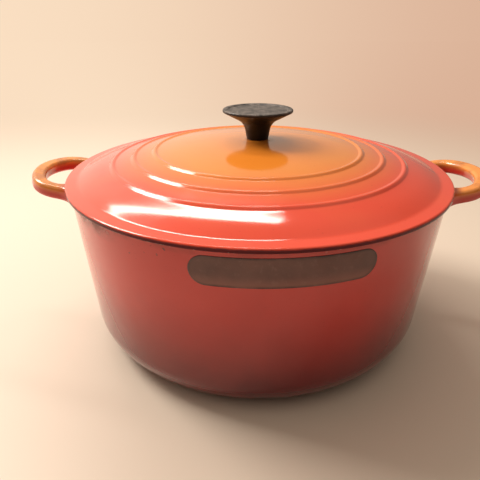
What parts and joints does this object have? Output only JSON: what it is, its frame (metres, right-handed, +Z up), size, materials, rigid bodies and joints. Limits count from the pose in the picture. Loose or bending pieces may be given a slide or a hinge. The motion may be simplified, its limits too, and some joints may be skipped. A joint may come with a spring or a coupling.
{
  "type": "dutch oven",
  "caption": "Round enamelled cast iron dutch oven: tapered pot with cast loop handles, domed lid with concentric raised beads and a round moulded knob.",
  "frame": {"origin": "centre of the foot ring's plane, where the pot stands", "axes": "+Z up through the knob, X through the two loop handles, -Y the front"},
  "size_m": [0.3344, 0.272, 0.1631],
  "materials": {
    "enamelled_iron": "gloss flame-orange vitreous enamel over cast iron, sand-coloured inside, matte black on the rims",
    "phenolic": "black moulded phenolic, satin",
    "turned_brass": "turned",
    "stainless_steel": "plain stainless fastener",
    "label_film": "worn taupe film, blank"
  },
  "bodies": {
    "pot": {"pot_casting": "enamelled_iron", "front_label": "label_film"},
    "lid": {"lid_casting": "enamelled_iron", "knob": "phenolic", "knob_insert": "turned_brass", "knob_screw": "stainless_steel", "flat_washer": "stainless_steel", "spring_washer": "stainless_steel"}
  },
  "joints": [
    {"name": "lid_lift", "type": "slide", "parent": "pot", "child": "lid", "axis": [0, 0, 1], "range_m": [0, 0.2]}
  ]
}
